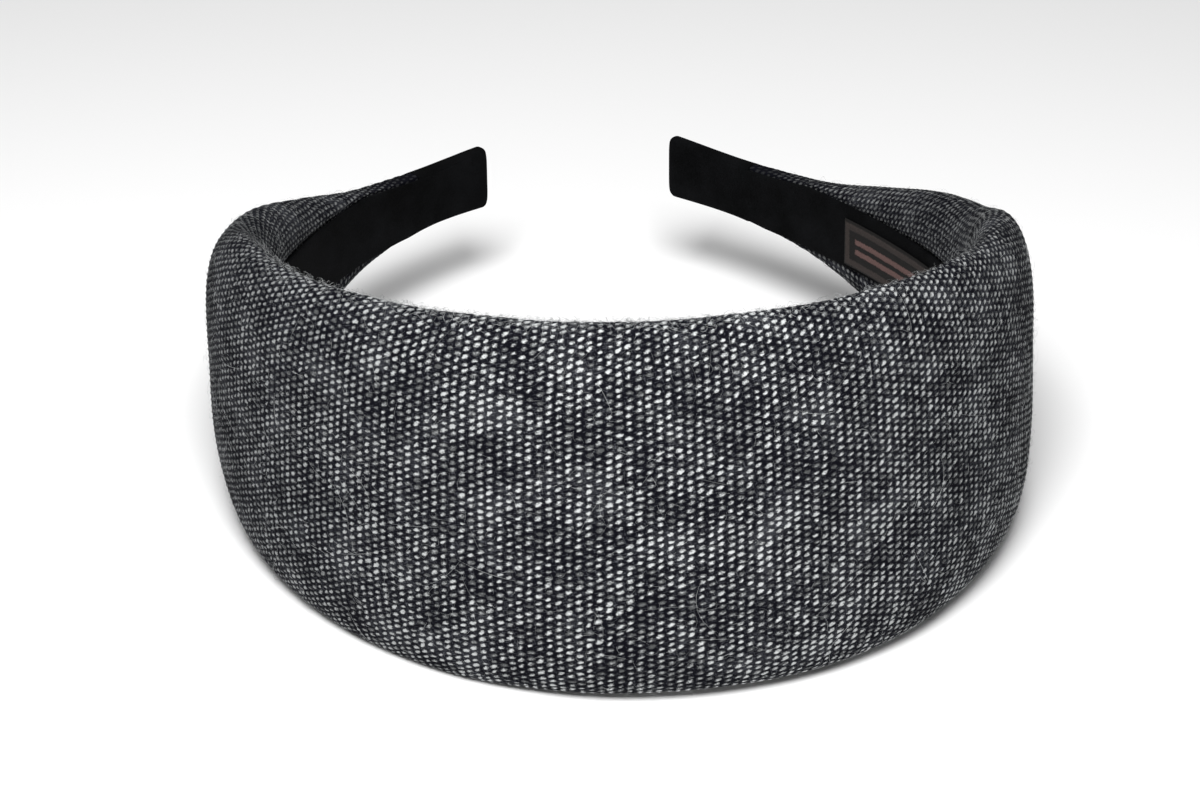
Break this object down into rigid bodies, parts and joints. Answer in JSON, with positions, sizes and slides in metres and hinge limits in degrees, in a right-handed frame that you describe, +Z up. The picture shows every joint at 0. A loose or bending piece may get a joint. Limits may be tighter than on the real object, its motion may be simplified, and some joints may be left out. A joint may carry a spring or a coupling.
{
  "type": "padded headband",
  "caption": "Wide padded hair band in grey tweed, open at the back, with a narrow black lining wrapped round both tips and a plain woven label.",
  "frame": {"origin": "on the surface that the band stands on, under the middle of its box", "axes": "+Z up, +Y from the front of the band towards the open back, so along the longest side, +X across from the left arm to the right arm of the wearer's view in the picture"},
  "size_m": [0.1434, 0.1546, 0.0618],
  "materials": {
    "tweed": "coarse plain-weave wool tweed, pale grey weft on navy-black warp, heathered",
    "lining": "short-napped black suede cloth",
    "label": "fine woven brown ribbon with a plain dusty-pink bar, no lettering"
  },
  "bodies": {
    "root": {"tweed_cover": "tweed", "inner_lining": "lining", "label": "label"}
  },
  "joints": []
}
